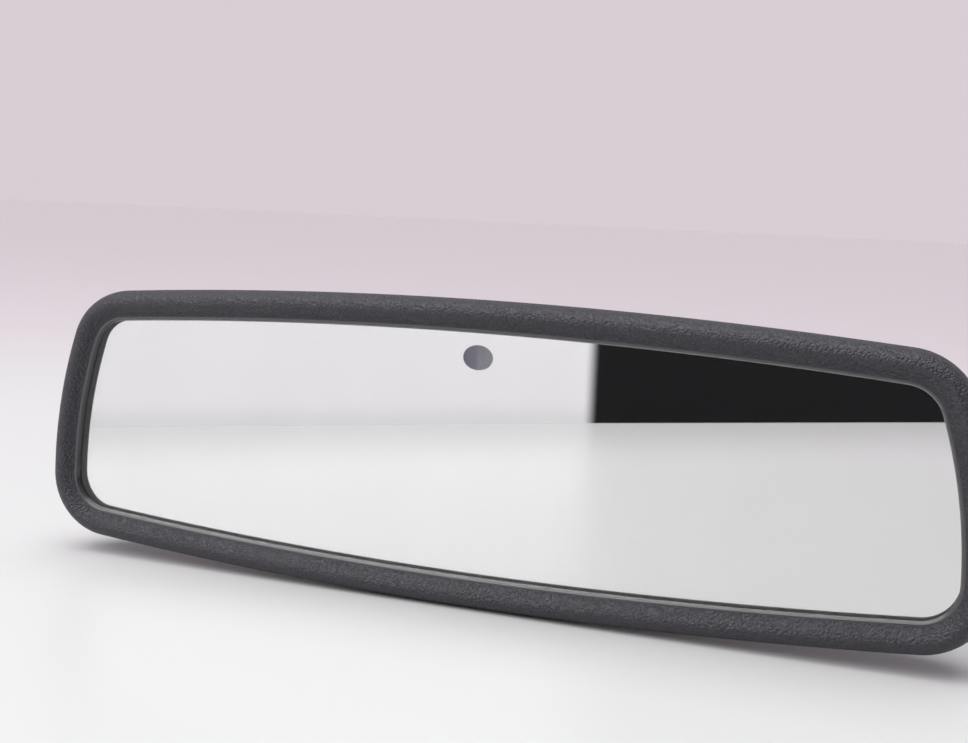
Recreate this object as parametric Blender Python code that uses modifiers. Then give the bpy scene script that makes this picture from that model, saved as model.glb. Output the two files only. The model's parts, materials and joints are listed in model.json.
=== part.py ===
"""Interior rearview mirror with a self-dimming glass, a two-ball arm and a wedge windscreen foot.

Units are metres, +Z is up, the glass faces -Y and its long side runs along X.
The origin is the middle of the button face that is glued to the windscreen.
The arm runs straight back from the head, so both of its balls lie at the same height.
"""

import math

import bmesh
import bpy
from mathutils import Vector

MM = 0.001
TURN = 2 * math.pi

# The visible glass edge: four bulged sides, rounded with one corner radius.
TOP_HALF = 105.5 * MM
BOTTOM_HALF = 111.6 * MM
CORE_HALF_HEIGHT = 17.7 * MM
TOP_RISE = 4.1 * MM
BOTTOM_RISE = 4.7 * MM
SIDE_RISE = 1.4 * MM
CORNER_RADIUS = 9.4 * MM
LONG_STEPS, SHORT_STEPS, CORNER_STEPS = 10, 4, 6

# The layers of the head, from the front, with the ball's centre at depth 0.
AIR = 0.3 * MM
GLASS_FRONT = -24.0 * MM
PANE = 2.0 * MM
GEL = 0.4 * MM
COATING = 0.3 * MM
REAR_PANE = 1.8 * MM
TAPE = 0.8 * MM
CARRIER = 1.8 * MM
GLASS_OVERLAP = 3.0 * MM
SEAL_OFFSET = 0.6 * MM
CARRIER_OFFSET = 4.2 * MM
BUS_CLIP_REACH = 48.0 * MM

# The window in the coating that the glare sensor looks through.
WINDOW_HEIGHT = 24.8 * MM
WINDOW_HALF_WIDTH = 4.0 * MM
WINDOW_HALF_HEIGHT = 3.2 * MM
SENSOR_OPENING = 5.0 * MM

# The bezel and the housing behind it.
BEZEL_DEPTH = 9.5 * MM
BEZEL_BACK_OFFSET = 6.6 * MM
HOUSING_FRONT = GLASS_FRONT + BEZEL_DEPTH + AIR
HOUSING_RIM, HOUSING_DEPTH = 1.5 * MM, 23.2 * MM
HOUSING_WALL = 2.2 * MM
DOME_EXPONENT = 2.2
STEM_HOLE_RADIUS = 11.5 * MM
LENS_OPENING = 3.6 * MM
BOSS_RADIUS, BOSS_BORE = 4.0 * MM, 1.7 * MM

# Ball joints, the same at both ends of the arm.
BALL_RADIUS = 7.5 * MM
LINER_INNER, LINER_OUTER = 7.9 * MM, 9.2 * MM
SOCKET_INNER = 9.7 * MM
LINER_OPENING = math.radians(54)
SOCKET_OPENING = math.radians(52)
PAD_RADIUS = 3.5 * MM
PAD_BACK = 9.9 * MM
SPRING_NEAR, SPRING_FAR = 10.2 * MM, 11.3 * MM
SOCKET_FLOOR = 11.6 * MM
SOCKET_OUTER = 12.5 * MM
SOCKET_CAP = 1.7 * MM
FLANGE_BACK, FLANGE_FRONT = -0.5 * MM, -3.0 * MM
BALL_STEPS = 20

# The arm.
ARM_LENGTH = 58.0 * MM
NECK_RADIUS = 3.5 * MM
ARM_RADIUS = 6.5 * MM
SPIGOT_RADIUS = 2.6 * MM
SPIGOT_BORE = 3.0 * MM

# The windscreen foot: its frame's Z is the windscreen's normal, Y runs down the windscreen.
WINDSCREEN_SLOPE = math.radians(30)
FOOT_BALL_DROP = 24.0 * MM
BUTTON_LENGTH = 28.0 * MM
BUTTON_THICKNESS = 3.2 * MM
BUTTON_FACE_WIDTH, BUTTON_BACK_WIDTH = 20.0 * MM, 23.0 * MM
BUTTON_TAPER = 1.6 * MM
CHANNEL_PLAY = 0.35 * MM
BASE_WIDTH = 34.0 * MM
BASE_FRONT, BASE_BACK = -18.0 * MM, 25.0 * MM
BASE_TOP, BASE_BOTTOM = -0.6 * MM, -9.0 * MM
CUP_RADIUS = 13.0 * MM
SET_SCREW_PLACE = -11.0 * MM

# Electronics.
BOARD_FRONT = -12.5 * MM
BOARD_THICKNESS = 1.6 * MM
BOARD_BACK = BOARD_FRONT + BOARD_THICKNESS
BOARD_HALF_WIDTH = 65.0 * MM
BOARD_LOW, BOARD_HIGH = 13.7 * MM, 30.5 * MM
BOARD_SCREW = (58.0 * MM, 17.5 * MM)
CONNECTOR_AT = (42.0 * MM, 21.0 * MM)
PLUG_MOUTH = 4.0 * MM
PLUG_HALF_WIDTH, PLUG_HALF_HEIGHT = 10.9 * MM, 4.9 * MM
PLUG_WALL = 1.2 * MM
PLUG_PLAY = 0.5 * MM
PIN_PITCH, PIN_ROW_GAP = 4.6 * MM, 3.4 * MM
AMBIENT_AT = (-42.0 * MM, 21.0 * MM)
PIVOT_SCREW = (23.0 * MM, 10.5 * MM)

# How a turned part is laid: its own Z points at the driver or at the windscreen.
TO_DRIVER = (math.pi / 2, 0, 0)
TO_WINDSCREEN = (-math.pi / 2, 0, 0)


# ---------------------------------------------------------------- scene and materials


def clear_scene():
    for obj in list(bpy.data.objects):
        bpy.data.objects.remove(obj)


def new_collection(name):
    made = bpy.data.collections.new(name)
    bpy.context.scene.collection.children.link(made)
    return made


def material(name, colour, roughness, metallic=0.0):
    made = bpy.data.materials.new(name)
    made.use_nodes = True
    shader = made.node_tree.nodes["Principled BSDF"]
    shader.inputs["Base Color"].default_value = (*colour, 1.0)
    shader.inputs["Roughness"].default_value = roughness
    shader.inputs["Metallic"].default_value = metallic
    return made


def empty(name, place, turn=(0, 0, 0)):
    made = bpy.data.objects.new(name, None)
    made.location = place
    made.rotation_euler = turn
    PARTS.objects.link(made)
    return made


def add(name, data, frame, finish, place=(0, 0, 0), turn=(0, 0, 0)):
    """A part: data as an object in a joint's frame."""
    made = bpy.data.objects.new(name, data)
    made.parent = frame
    made.location = place
    made.rotation_euler = turn
    if finish:
        data.materials.append(finish)
        PARTS.objects.link(made)
    else:
        made.hide_render = True
        made.display_type = "WIRE"
        TOOLS.objects.link(made)
    return made


# ---------------------------------------------------------------- shape helpers


def bulged_side(start, end, rise, steps):
    """Points and outward normals along an arc from start to end that bulges by rise."""
    chord = end - start
    along = chord.normalized()
    outward = Vector((-along.y, along.x))
    radius = (chord.length_squared / 4 + rise**2) / (2 * rise)
    centre = (start + end) / 2 + outward * (rise - radius)
    half_angle = math.asin(chord.length / (2 * radius))
    samples = []
    for i in range(steps + 1):
        angle = half_angle * (2 * i / steps - 1)
        normal = outward * math.cos(angle) + along * math.sin(angle)
        samples.append((centre + normal * radius, normal))
    return samples


def outline(offset):
    """The visible glass edge moved outwards by offset, as (x, z) points, clockwise from the top left."""
    top_left = Vector((-TOP_HALF, CORE_HALF_HEIGHT))
    top_right = Vector((TOP_HALF, CORE_HALF_HEIGHT))
    low_right = Vector((BOTTOM_HALF, -CORE_HALF_HEIGHT))
    low_left = Vector((-BOTTOM_HALF, -CORE_HALF_HEIGHT))
    sides = [
        bulged_side(top_left, top_right, TOP_RISE, LONG_STEPS),
        bulged_side(top_right, low_right, SIDE_RISE, SHORT_STEPS),
        bulged_side(low_right, low_left, BOTTOM_RISE, LONG_STEPS),
        bulged_side(low_left, top_left, SIDE_RISE, SHORT_STEPS),
    ]
    radius = CORNER_RADIUS + offset
    points = []
    for side, following in zip(sides, sides[1:] + sides[:1]):
        points += [point + normal * radius for point, normal in side]
        corner, first = side[-1]
        turn = first.angle_signed(following[0][1])
        for i in range(1, CORNER_STEPS):
            angle = math.atan2(first.y, first.x) - turn * i / CORNER_STEPS
            points.append(corner + radius * Vector((math.cos(angle), math.sin(angle))))
    return points


def ellipse(half_width, half_height, centre, steps):
    angles = [TURN * i / steps for i in range(steps)]
    reaches = [Vector((half_width * math.cos(angle), half_height * math.sin(angle))) for angle in angles]
    return [Vector(centre) + reach for reach in reaches]


def plate(name, outlines, front, thickness, finish):
    """A flat sheet of the head, with its front at depth front. Outlines after the first are holes."""
    curve = bpy.data.curves.new(name, "CURVE")
    curve.dimensions = "2D"
    curve.fill_mode = "BOTH"
    curve.extrude = thickness / 2
    for points in outlines:
        spline = curve.splines.new("POLY")
        spline.points.add(len(points) - 1)
        spline.use_cyclic_u = True
        for point, place in zip(spline.points, points):
            point.co = (place.x, place.y, 0, 1)
    return add(name, curve, HEAD, finish, (0, front + thickness / 2, 0), TO_DRIVER)


def loft(name, rings, joined=False, caps=()):
    """A skin through rings of equal length. Joined links the last ring to the first; caps closes rings."""
    mesh = bmesh.new()
    rows = [[mesh.verts.new(point) for point in ring] for ring in rings]
    pairs = list(zip(rows, rows[1:]))
    if joined:
        pairs.append((rows[-1], rows[0]))
    for one, other in pairs:
        for i in range(len(one)):
            j = (i + 1) % len(one)
            mesh.faces.new((one[i], one[j], other[j], other[i]))
    for cap in caps:
        mesh.faces.new(rows[cap])
    bmesh.ops.recalc_face_normals(mesh, faces=mesh.faces)
    return finished(name, mesh)


def finished(name, mesh):
    data = bpy.data.meshes.new(name)
    mesh.to_mesh(data)
    mesh.free()
    data.shade_smooth()
    data.set_sharp_from_angle(angle=math.radians(35))
    return data


def box(name, low, high, frame, finish, bevel=0.0, place=(0, 0, 0), turn=(0, 0, 0)):
    """A box between two opposite corners, with its edges rounded by bevel."""
    mesh = bmesh.new()
    bmesh.ops.create_cube(mesh, size=1)
    for vert in mesh.verts:
        vert.co = Vector(a + (c + 0.5) * (b - a) for a, c, b in zip(low, vert.co, high))
    if bevel:
        bmesh.ops.bevel(mesh, geom=mesh.edges[:], offset=bevel, segments=2, profile=0.5, affect="EDGES")
    return add(name, finished(name, mesh), frame, finish, place, turn)


def turned(name, profile, frame, finish, closed=False, steps=BALL_STEPS, place=(0, 0, 0), turn=TO_WINDSCREEN):
    """A turned part. The profile is (radius, height) points, down the outer side from top to bottom."""
    mesh = bmesh.new()
    verts = [mesh.verts.new((radius, 0, height)) for radius, height in profile]
    pairs = list(zip(verts, verts[1:]))
    if closed:
        pairs.append((verts[-1], verts[0]))
    for pair in pairs:
        mesh.edges.new(pair)
    data = bpy.data.meshes.new(name)
    mesh.to_mesh(data)
    mesh.free()
    made = add(name, data, frame, finish, place, turn)
    screw = made.modifiers.new("Turn", "SCREW")
    screw.axis = "Z"
    screw.steps = screw.render_steps = steps
    screw.use_merge_vertices = True
    screw.merge_threshold = 0.00001
    screw.use_smooth_shade = True
    return made


def rod(name, radius, top, bottom, frame, finish, steps=BALL_STEPS, place=(0, 0, 0), turn=TO_WINDSCREEN):
    profile = [(0, top), (radius, top), (radius, bottom), (0, bottom)]
    return turned(name, profile, frame, finish, steps=steps, place=place, turn=turn)


def pan_screw(name, head_radius, shank_radius, length, place, turn):
    """A screw whose head sits on its own Z = 0, with its shank below."""
    head_height = 0.62 * head_radius
    profile = [
        (0, head_height),
        (head_radius * 0.7, head_height),
        (head_radius, head_height * 0.5),
        (head_radius, 0),
        (shank_radius, 0),
        (shank_radius, shank_radius - length),
        (0, -length),
    ]
    turned(name, profile, HEAD, ZINC_PLATE, steps=12, place=place, turn=turn)


def cut(target, tool, operation="DIFFERENCE"):
    modifier = target.modifiers.new(tool.name, "BOOLEAN")
    modifier.object = tool
    modifier.operation = operation
    modifier.solver = "EXACT"


def sphere_arc(radius, start, end, steps):
    """(radius, height) points on a sphere, by the angle from its top pole."""
    angles = [start + (end - start) * i / steps for i in range(steps + 1)]
    return [(radius * math.sin(angle), radius * math.cos(angle)) for angle in angles]


# ---------------------------------------------------------------- ball joint pieces
# These are turned about local Z, which points out of the socket along the arm's neck.


def ball_liner(name, frame, turn):
    outer = sphere_arc(LINER_OUTER, LINER_OPENING, math.pi - LINER_OPENING, 6)
    inner = sphere_arc(LINER_INNER, math.pi - LINER_OPENING, LINER_OPENING, 6)
    turned(name, outer + inner, frame, NYLON, True, turn=turn)


def thrust_pad(name, frame, place, turn):
    """The pad that the spring presses against the ball's pole."""
    reach = math.asin(PAD_RADIUS / LINER_INNER)
    dish = sphere_arc(LINER_INNER, math.pi, math.pi - reach, 4)
    profile = [*dish, (PAD_RADIUS, -PAD_BACK), (0, -PAD_BACK)]
    turned(name, profile, frame, NYLON, steps=16, place=place, turn=turn)


def disc_spring(name, frame, place, turn):
    inner, outer, sheet = 2.0 * MM, 5.6 * MM, 0.5 * MM
    profile = [
        (inner, -SPRING_NEAR),
        (outer, -SPRING_FAR + sheet),
        (outer, -SPRING_FAR),
        (inner, -SPRING_NEAR - sheet),
    ]
    turned(name, profile, frame, SPRING_STEEL, True, steps=16, place=place, turn=turn)


# ---------------------------------------------------------------- head: bezel, glass and housing


def bezel_section():
    """The bezel's wall as (offset, depth behind the glass front), in mm, from the lip's tip outwards."""
    lip = [(0.0, -0.3), (0.05, -0.8), (0.35, -1.15), (0.8, -1.2), (1.25, -1.0)]
    face = [(1.6, -1.25), (3.2, -2.2), (4.8, -3.1), (6.0, -3.6)]
    shoulder = [(7.2, -3.2), (8.0, -2.3), (8.35, -1.2), (8.35, 0.4)]
    side = [(8.05, 3.0), (7.4, 6.5), (6.6, 9.5)]
    inside = [(4.9, 9.5), (4.7, 0.2), (4.3, -0.3)]
    return lip + face + shoulder + side + inside


def make_bezel():
    rings = []
    for offset, depth in bezel_section():
        y = GLASS_FRONT + depth * MM
        rings.append([(point.x, y, point.y) for point in outline(offset * MM)])
    add("bezel", loft("bezel", rings, joined=True), HEAD, TEXTURED_PLASTIC)


def make_glass():
    """The dimming cell: two panes with a gel and its seal between them, and the mirror coating."""
    depth = GLASS_FRONT
    plate("front_glass", [outline(GLASS_OVERLAP)], depth, PANE, GLASS)
    depth += PANE + AIR
    seal = [outline(GLASS_OVERLAP - 0.4 * MM), outline(SEAL_OFFSET)]
    plate("cell_seal", seal, depth, GEL, SEAL)
    plate("electrochromic_gel", [outline(SEAL_OFFSET - AIR)], depth, GEL, GLASS)
    depth += GEL + AIR
    window = ellipse(WINDOW_HALF_WIDTH, WINDOW_HALF_HEIGHT, (0, WINDOW_HEIGHT), 24)
    plate("reflector_coating", [outline(GLASS_OVERLAP - 0.3 * MM), window], depth, COATING, MIRROR)
    depth += COATING + AIR
    plate("rear_glass", [outline(GLASS_OVERLAP - 0.2 * MM)], depth, REAR_PANE, GLASS)
    return depth + REAR_PANE + AIR


def make_carrier(tape_front, carrier_front):
    """The foam tape and the plastic plate that hold the glass, with two posts for the board."""
    opening = ellipse(SENSOR_OPENING, SENSOR_OPENING, (0, WINDOW_HEIGHT), 20)
    plate("glass_tape", [outline(-0.6 * MM), opening], tape_front, TAPE, FOAM)
    sheet = plate("carrier_sheet", [outline(CARRIER_OFFSET), opening], carrier_front, CARRIER, BLACK_PLASTIC)
    carrier = as_mesh(sheet, "glass_carrier")
    front, back = carrier_front + 0.5 * MM, BOARD_FRONT - AIR
    x, z = BOARD_SCREW
    for place in ((x, 0, z), (-x, 0, z)):
        cut(carrier, rod("post", 3.0 * MM, back, front, HEAD, None, 12, place), "UNION")
        cut(carrier, rod("post_bore", 1.5 * MM, back + 1 * MM, back - 2.5 * MM, HEAD, None, 12, place))


def as_mesh(curve_object, name):
    """Turns a curve object into a mesh object with its caps welded."""
    bpy.context.view_layer.update()
    evaluated = curve_object.evaluated_get(bpy.context.evaluated_depsgraph_get())
    data = bpy.data.meshes.new_from_object(evaluated)
    mesh = bmesh.new()
    mesh.from_mesh(data)
    bmesh.ops.remove_doubles(mesh, verts=mesh.verts, dist=0.000005)
    mesh.to_mesh(data)
    mesh.free()
    made = bpy.data.objects.new(name, data)
    PARTS.objects.link(made)
    made.matrix_world = curve_object.matrix_world
    bpy.data.objects.remove(curve_object)
    return made


def make_bus_clips(behind_glass):
    """The L-shaped spring strips that feed the two panes along their long edges."""
    sheet, leg = 0.3 * MM, 3.5 * MM
    edge = GLASS_OVERLAP + AIR
    front = GLASS_FRONT + PANE
    section = [
        (edge, front),
        (edge + sheet, front),
        (edge + sheet, behind_glass + sheet),
        (edge - leg, behind_glass + sheet),
        (edge - leg, behind_glass),
        (edge, behind_glass),
    ]
    edges = (("bus_clip_upper", TOP_HALF, TOP_RISE, 1), ("bus_clip_lower", BOTTOM_HALF, BOTTOM_RISE, -1))
    for name, half, rise, sign in edges:
        rings = edge_strip(half, rise, sign, BUS_CLIP_REACH, section)
        add(name, loft(name, rings, caps=(0, -1)), HEAD, COPPER)


def edge_strip(half, rise, sign, reach, section, steps=6):
    """Copies of an (offset, depth) section along one long edge of the glass, as far as reach."""
    radius = (half**2 + rise**2) / (2 * rise)
    swing = math.asin(reach / (radius + CORNER_RADIUS))
    rings = []
    for i in range(steps + 1):
        angle = swing * (2 * i / steps - 1)
        ring = []
        for offset, depth in section:
            out = radius + CORNER_RADIUS + offset
            height = CORE_HALF_HEIGHT + rise - radius + out * math.cos(angle)
            ring.append((out * math.sin(angle), depth, sign * height))
        rings.append(ring)
    return rings


def make_housing():
    """The back shell, with screw bosses inside and three openings.

    A short straight rim is followed by a dome, whose rings change from the outline to an oval.
    """
    rim = outline(BEZEL_BACK_OFFSET)
    half_width, half_height = max(point.x for point in rim), max(point.y for point in rim)
    rings = [[(point.x, HOUSING_FRONT, point.y) for point in rim]]
    for scale in (1, 0.992, 0.97, 0.93, 0.87, 0.78, 0.66, 0.5, 0.3, 0.1):
        y = HOUSING_FRONT + HOUSING_RIM + HOUSING_DEPTH * math.sqrt(1 - scale**DOME_EXPONENT)
        ring = []
        for point in rim:
            oval = point / math.hypot(point.x / half_width, point.y / half_height)
            inner = oval.lerp(point, scale**2) * scale
            ring.append((inner.x, y, inner.y))
        rings.append(ring)
    housing = add("rear_housing", loft("rear_housing", rings, caps=(-1,)), HEAD, TEXTURED_PLASTIC)
    wall = housing.modifiers.new("Wall", "SOLIDIFY")
    wall.thickness = HOUSING_WALL
    wall.offset = -1
    wall.use_even_offset = True
    for place in pivot_screw_places(0):
        cut(housing, rod("boss", BOSS_RADIUS, 8.3 * MM, -0.2 * MM, HEAD, None, 12, place), "UNION")
        cut(housing, rod("boss_bore", BOSS_BORE, 6.0 * MM, -2 * MM, HEAD, None, 12, place))
    outside = 20 * MM
    cut(housing, rod("stem_opening", STEM_HOLE_RADIUS, outside, 4 * MM, HEAD, None))
    x, z = AMBIENT_AT
    cut(housing, rod("lens_opening", LENS_OPENING, outside, -2 * MM, HEAD, None, 16, (x, 0, z)))
    x, z = CONNECTOR_AT
    width, height = PLUG_HALF_WIDTH + PLUG_PLAY, PLUG_HALF_HEIGHT + PLUG_PLAY
    low, high = (x - width, -4 * MM, z - height), (x + width, outside, z + height)
    cut(housing, box("plug_opening", low, high, HEAD, None))


def pivot_screw_places(depth):
    x, z = PIVOT_SCREW
    return [(x, depth, z), (-x, depth, z), (x, depth, -z), (-x, depth, -z)]


# ---------------------------------------------------------------- head: joint and fasteners


def make_pivot_plate():
    """The socket that holds the head on its ball, with the plate that is screwed into the housing."""
    mouth = sphere_arc(SOCKET_INNER, SOCKET_OPENING, math.pi / 2, 5)
    outer = [(SOCKET_OUTER, mouth[0][1]), (SOCKET_OUTER, -SOCKET_FLOOR)]
    profile = [*outer, (SOCKET_INNER, -SOCKET_FLOOR), *reversed(mouth)]
    cup = turned("pivot_plate", profile, HEAD, DIE_CAST, True)
    x, z = PIVOT_SCREW
    width, height = x + 5 * MM, z + 4 * MM
    flange = box("pivot_flange", (-width, FLANGE_FRONT, -height), (width, FLANGE_BACK, height), HEAD, None)
    cut(flange, rod("flange_bore", SOCKET_OUTER - 1.3 * MM, 5 * MM, -9 * MM, HEAD, None))
    for place in pivot_screw_places(0):
        cut(flange, rod("flange_hole", 1.8 * MM, 2 * MM, -5 * MM, HEAD, None, 12, place))
    cut(cup, flange, "UNION")


def make_head_joint():
    centre = (0, 0, 0)
    ball_liner("head_liner", HEAD, TO_WINDSCREEN)
    thrust_pad("head_thrust_pad", HEAD, centre, TO_WINDSCREEN)
    disc_spring("head_disc_spring", HEAD, centre, TO_WINDSCREEN)
    cap_front = -SOCKET_FLOOR - AIR
    rod("socket_cap", SOCKET_OUTER, cap_front, cap_front - SOCKET_CAP, HEAD, SPRING_STEEL)
    bottom = -4.5 * MM
    outside = sphere_arc(BALL_RADIUS, math.asin(SPIGOT_BORE / BALL_RADIUS), math.pi, 11)
    turned("head_ball", [(0, bottom), (SPIGOT_BORE, bottom), *outside], HEAD, POLISHED_STEEL)


def make_screws():
    for i, place in enumerate(pivot_screw_places(FLANGE_FRONT - AIR), 1):
        pan_screw(f"pivot_screw_{i}", 2.9 * MM, 1.35 * MM, 8.5 * MM, place, TO_DRIVER)
    x, z = BOARD_SCREW
    for i, side in enumerate((-x, x), 1):
        place = (side, BOARD_BACK + AIR, z)
        pan_screw(f"board_screw_{i}", 2.4 * MM, 1.15 * MM, 3.9 * MM, place, TO_WINDSCREEN)


# ---------------------------------------------------------------- head: electronics


def make_board():
    chamfer = 8 * MM
    corners = [
        Vector((-BOARD_HALF_WIDTH, BOARD_LOW)),
        Vector((BOARD_HALF_WIDTH, BOARD_LOW)),
        Vector((BOARD_HALF_WIDTH, BOARD_HIGH - chamfer / 2)),
        Vector((BOARD_HALF_WIDTH - chamfer, BOARD_HIGH)),
        Vector((chamfer - BOARD_HALF_WIDTH, BOARD_HIGH)),
        Vector((-BOARD_HALF_WIDTH, BOARD_HIGH - chamfer / 2)),
    ]
    x, z = BOARD_SCREW
    holes = [ellipse(1.6 * MM, 1.6 * MM, (side, z), 12) for side in (-x, x)]
    plate("circuit_board", [corners, *holes], BOARD_FRONT, BOARD_THICKNESS, BOARD)
    back = BOARD_BACK + AIR
    box("microcontroller", (-8 * MM, back, 17 * MM), (2 * MM, back + 1.2 * MM, 27 * MM), HEAD, CHIP)
    box("power_transistor", (8 * MM, back, 18 * MM), (15 * MM, back + 2.3 * MM, 25 * MM), HEAD, CHIP)
    can = [(0, 6), (2.6, 6), (3.0, 5.6), (3.0, 0), (0, 0)]
    profile = [(radius * MM, height * MM) for radius, height in can]
    for i, x in enumerate((-16 * MM, 22 * MM), 1):
        turned(f"capacitor_{i}", profile, HEAD, ALUMINIUM, steps=14, place=(x, back, 22 * MM))
    for i in range(4):
        low = Vector(((3.4 * i - 31) * MM, back, 26 * MM))
        box(f"chip_resistor_{i + 1}", low, low + Vector((2.0, 0.6, 1.3)) * MM, HEAD, CHIP)


def make_sensors(tape_front, carrier_front):
    """The glare sensor behind the window, and the light sensor that looks through the housing."""
    place = (0, 0, WINDOW_HEIGHT)
    base, tip = BOARD_FRONT - AIR, carrier_front + 0.4 * MM
    profile = [(0, base), (2.5 * MM, base), (2.5 * MM, tip + 1.2 * MM), (1.4 * MM, tip + 0.3 * MM), (0, tip)]
    turned("glare_sensor", profile, HEAD, CHIP, steps=16, place=place)
    inner, outer, near = 3.2 * MM, 4.4 * MM, carrier_front + 0.2 * MM
    profile = [(outer, base), (outer, near), (inner, near), (inner, base)]
    turned("sensor_shroud", profile, HEAD, BLACK_PLASTIC, True, 20, place)
    rod("sensor_lens", 4.6 * MM, tape_front + TAPE, tape_front, HEAD, LENS, 24, place)
    place = (AMBIENT_AT[0], 0, AMBIENT_AT[1])
    back = BOARD_BACK + AIR
    tip = back + 6 * MM
    profile = [(0, tip), (1.8 * MM, tip - 0.6 * MM), (2.5 * MM, tip - 2 * MM), (2.5 * MM, back), (0, back)]
    turned("ambient_sensor", profile, HEAD, CHIP, steps=16, place=place)
    tail, nose, outer = tip + AIR, 7.6 * MM, 3.2 * MM
    profile = [(0, nose), (outer * 0.6, nose - 0.4 * MM), (outer, nose - 1.6 * MM), (outer, tail), (0, tail)]
    turned("ambient_lens", profile, HEAD, LENS, steps=16, place=place)


def make_connector():
    """The plug header: a shroud that is open to the back, and two rows of pins."""
    x, z = CONNECTOR_AT
    back = BOARD_BACK + AIR
    floor = back + 2.5 * MM
    width, height = PLUG_HALF_WIDTH, PLUG_HALF_HEIGHT
    low, high = (x - width, back, z - height), (x + width, PLUG_MOUTH, z + height)
    shroud = box("connector_shroud", low, high, HEAD, BLACK_PLASTIC)
    width, height = width - PLUG_WALL, height - PLUG_WALL
    low, high = (x - width, floor, z - height), (x + width, PLUG_MOUTH + 5 * MM, z + height)
    cut(shroud, box("plug_space", low, high, HEAD, None))
    half, tip = 0.4 * MM, PLUG_MOUTH - 5 * MM
    for i in range(6):
        px = x + (i % 3 - 1) * PIN_PITCH
        pz = z + (i // 3 - 0.5) * PIN_ROW_GAP
        low, high = (px - half, floor + AIR, pz - half), (px + half, tip, pz + half)
        box(f"connector_pin_{i + 1}", low, high, HEAD, BRASS)


# ---------------------------------------------------------------- arm and foot


def make_arm():
    """One casting: the foot ball, the barrel and the spigot that carries the head ball."""
    neck = math.asin(NECK_RADIUS / BALL_RADIUS)
    ball = [(radius, -height) for radius, height in sphere_arc(BALL_RADIUS, 0, math.pi - neck, 10)]
    near_foot = [(NECK_RADIUS, 13 * MM), (4.6 * MM, 16 * MM), (6.0 * MM, 19 * MM), (ARM_RADIUS, 23 * MM)]
    near_head = [(radius, ARM_LENGTH - height) for radius, height in reversed(near_foot)]
    shoulder = ARM_LENGTH - 7.2 * MM
    tip = ARM_LENGTH + 4.1 * MM
    spigot = [(NECK_RADIUS, shoulder), (SPIGOT_RADIUS, shoulder), (SPIGOT_RADIUS, tip - 0.7 * MM), (0, tip)]
    profile = ball + near_foot + near_head + spigot
    turned("arm", profile[::-1], ARM, SATIN_BLACK, turn=TO_DRIVER)


def make_foot():
    """The bonded button, and the bracket that slides over it and holds the arm's ball."""
    dovetail("windscreen_button", BUTTON_LENGTH / 2, 0, 0, BARE_STEEL)
    low, high = (-BASE_WIDTH / 2, BASE_FRONT, BASE_BOTTOM), (BASE_WIDTH / 2, BASE_BACK, BASE_TOP)
    bracket = box("foot_bracket", low, high, FOOT, SATIN_BLACK, 2.2 * MM)
    ball = (0, 0, -FOOT_BALL_DROP)
    along_arm = (math.pi / 2 + WINDSCREEN_SLOPE, 0, 0)
    outer, back, chamfer = CUP_RADIUS, -SOCKET_FLOOR - 3.4 * MM, 2 * MM
    cup = [(0, -AIR), (outer, -AIR), (outer, back + chamfer), (outer - chamfer, back), (0, back)]
    cut(bracket, turned("cup", cup, FOOT, None, place=ball, turn=along_arm), "UNION")
    cut(bracket, box("web", (-8 * MM, 0, -20 * MM), (8 * MM, 19 * MM, -6 * MM), FOOT, None), "UNION")
    cut(bracket, rod("cup_bore", SOCKET_INNER, 3 * MM, -SOCKET_FLOOR, FOOT, None, place=ball, turn=along_arm))
    cut(bracket, dovetail("channel", BASE_BACK + 4 * MM, 2 * MM, CHANNEL_PLAY, None))
    screw_place = (0, SET_SCREW_PLACE, 0)
    cut(bracket, rod("set_screw_hole", 2.35 * MM, 0, -14 * MM, FOOT, None, 16, screw_place, (0, 0, 0)))
    make_set_screw(screw_place)
    make_foot_joint(ball, along_arm)


def dovetail(name, far, top, play, finish):
    """A bar that widens away from the windscreen and down it, from the button's upper end to far."""
    near, bottom = -BUTTON_LENGTH / 2 - play, -BUTTON_THICKNESS - play
    flare = (BUTTON_BACK_WIDTH - BUTTON_FACE_WIDTH) / 2 / BUTTON_THICKNESS
    made = box(name, (-0.5, near, bottom), (0.5, far, top), FOOT, finish)
    for vert in made.data.vertices:
        half = BUTTON_FACE_WIDTH / 2 - vert.co.z * flare + vert.co.y / BUTTON_LENGTH * BUTTON_TAPER + play
        vert.co.x = math.copysign(half, vert.co.x)
    return made


def make_set_screw(place):
    """The screw that wedges the bracket on the button, with a socket for a key in its lower end."""
    tip, head, socket, key = -BUTTON_THICKNESS - AIR, -9.4 * MM, -6.8 * MM, 1.2 * MM
    profile = [
        (0, tip),
        (1.3 * MM, tip),
        (2.0 * MM, tip - 0.7 * MM),
        (2.0 * MM, head),
        (key, head),
        (key, socket),
        (0, socket),
    ]
    turned("set_screw", profile, FOOT, ZINC_PLATE, steps=18, place=place, turn=(0, 0, 0))


def make_foot_joint(ball, along_arm):
    ball_liner("foot_liner", FOOT_BALL, TO_DRIVER)
    thrust_pad("foot_thrust_pad", FOOT, ball, along_arm)
    disc_spring("foot_disc_spring", FOOT, ball, along_arm)
    mouth = sphere_arc(SOCKET_INNER, SOCKET_OPENING, math.pi / 2, 5)
    lip, chamfer = mouth[0][1], 1.2 * MM
    profile = [(CUP_RADIUS - chamfer, lip), (CUP_RADIUS, lip - chamfer), (CUP_RADIUS, 0), *reversed(mouth)]
    ring = turned("foot_retainer", profile, FOOT, SATIN_BLACK, True, place=ball, turn=along_arm)
    for side in (-1, 1):
        middle, half = side * (CUP_RADIUS - 0.6 * MM), 1.6 * MM
        low, high = (middle - half, -half, lip - half), (middle + half, half, lip + 2 * half)
        cut(ring, box("spanner_notch", low, high, FOOT, None, 0, ball, along_arm))


# ---------------------------------------------------------------- assembly

clear_scene()
PARTS = new_collection("interior_rearview_mirror")
TOOLS = new_collection("cutters")
TOOLS.hide_render = True

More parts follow.
